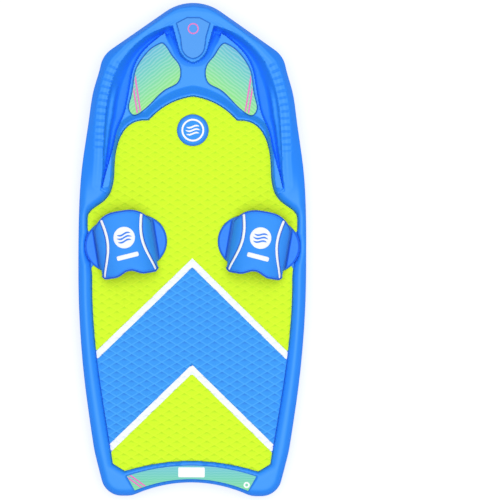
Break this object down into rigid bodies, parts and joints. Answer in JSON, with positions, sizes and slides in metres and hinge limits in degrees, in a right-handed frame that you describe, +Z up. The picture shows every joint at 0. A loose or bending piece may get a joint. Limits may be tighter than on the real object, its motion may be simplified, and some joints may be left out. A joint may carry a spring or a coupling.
{
  "type": "kneeboard",
  "caption": "Kneeboard with a foam-filled moulded shell, diamond-embossed pads, a tow tongue with a rope channel, ribbed grip rails and padded foot straps that peel open.",
  "frame": {"origin": "on the ground under the middle of the board's bounding box, with the board resting on its strakes and fins", "axes": "+Y to the nose, +X to starboard, +Z up out of the deck"},
  "size_m": [0.6199, 1.3399, 0.1592],
  "materials": {
    "deck_plastic": "satin moulded polyethylene with a fine grain",
    "hull_plastic": "satin moulded polyethylene",
    "core_foam": "closed-cell foam fill",
    "pad_lime": "embossed closed-cell foam with a diamond pattern",
    "pad_blue": "embossed closed-cell foam with a diamond pattern",
    "pad_white": "embossed closed-cell foam with a diamond pattern",
    "print_film": "printed film with fine wavy lines",
    "pink_film": "printed film",
    "white_film": "printed film",
    "badge_plastic": "raised badge",
    "strap_fabric": "coated stretch fabric over foam",
    "strap_lining": "knitted lining over foam",
    "white_trim": "woven tape",
    "tape": "hook-and-loop tape",
    "fairing_rubber": "moulded soft rubber",
    "steel": "stainless",
    "brass": "machined"
  },
  "bodies": {
    "board": {"deck_pad_front": "pad_lime", "deck_pad_middle": "pad_blue", "deck_pad_rear": "pad_lime", "deck_shell": "deck_plastic", "foam_core": "core_foam", "hull_shell": "hull_plastic", "left_clamp_plates": "steel", "left_fairing_inboard": "fairing_rubber", "left_fairing_outboard": "fairing_rubber", "left_loop_tape": "tape", "left_strap_inserts": "brass", "left_strap_liner": "strap_lining", "left_strap_screws": "steel", "nose_inset_left": "print_film", "nose_inset_right": "print_film", "nose_stripes_left": "pink_film", "nose_stripes_right": "pink_film", "pad_chevron_front": "pad_white", "pad_chevron_rear": "pad_white", "pad_emblem_disc": "pad_blue", "pad_emblem_mark": "white_film", "right_clamp_plates": "steel", "right_fairing_inboard": "fairing_rubber", "right_fairing_outboard": "fairing_rubber", "right_loop_tape": "tape", "right_strap_inserts": "brass", "right_strap_liner": "strap_lining", "right_strap_screws": "steel", "tail_graphic": "print_film", "tail_label": "white_film", "tail_stripes": "pink_film", "tongue_badge": "badge_plastic", "tongue_ring": "pink_film"},
    "left_cover": {"left_cover_badge": "white_trim", "left_cover_emblem": "white_trim", "left_cover_piping": "white_trim", "left_cover_shell": "strap_fabric", "left_hook_tape": "tape"},
    "right_cover": {"right_cover_badge": "white_trim", "right_cover_emblem": "white_trim", "right_cover_piping": "white_trim", "right_cover_shell": "strap_fabric", "right_hook_tape": "tape"}
  },
  "joints": [
    {"name": "left_cover_peel", "type": "hinge", "parent": "board", "child": "left_cover", "pos_m": [-0.25923, 0.00392, 0.095], "axis": [0.1633, -0.9866, 0], "range_deg": [0, 90]},
    {"name": "right_cover_peel", "type": "hinge", "parent": "board", "child": "right_cover", "pos_m": [0.25923, 0.00392, 0.095], "axis": [0.1633, 0.9866, 0], "range_deg": [0, 90]}
  ]
}
